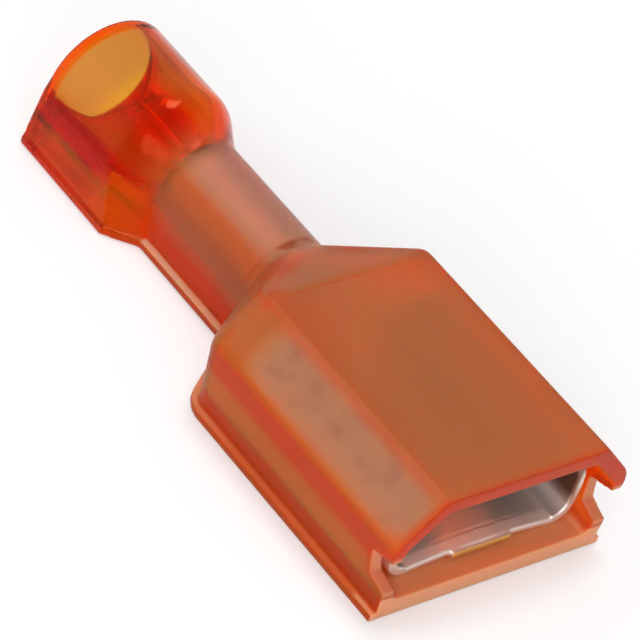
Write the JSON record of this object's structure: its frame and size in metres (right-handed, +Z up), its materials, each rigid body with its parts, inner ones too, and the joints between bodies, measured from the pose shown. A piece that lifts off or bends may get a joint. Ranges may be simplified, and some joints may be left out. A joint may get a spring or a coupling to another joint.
{
  "type": "female spade terminal",
  "caption": "Fully insulated female spade terminal: a translucent red-orange nylon housing with a wire funnel, neck and flat body, over a folded and rolled tin-plated brass receptacle.",
  "frame": {"origin": "centre of the bounding box of the housing's flat base, on the surface that the part rests on", "axes": "+Y along the wire barrel's axis towards the wire end, -Y out of the mouth, +Z up from the flat base, +X across the body"},
  "size_m": [0.009, 0.0216, 0.0044],
  "materials": {
    "nylon": "translucent, satin, as moulded",
    "tinned_brass": "bright tin plate, bare brass at the cut-off stub"
  },
  "bodies": {
    "root": {"housing": "nylon", "terminal": "tinned_brass"}
  },
  "joints": []
}
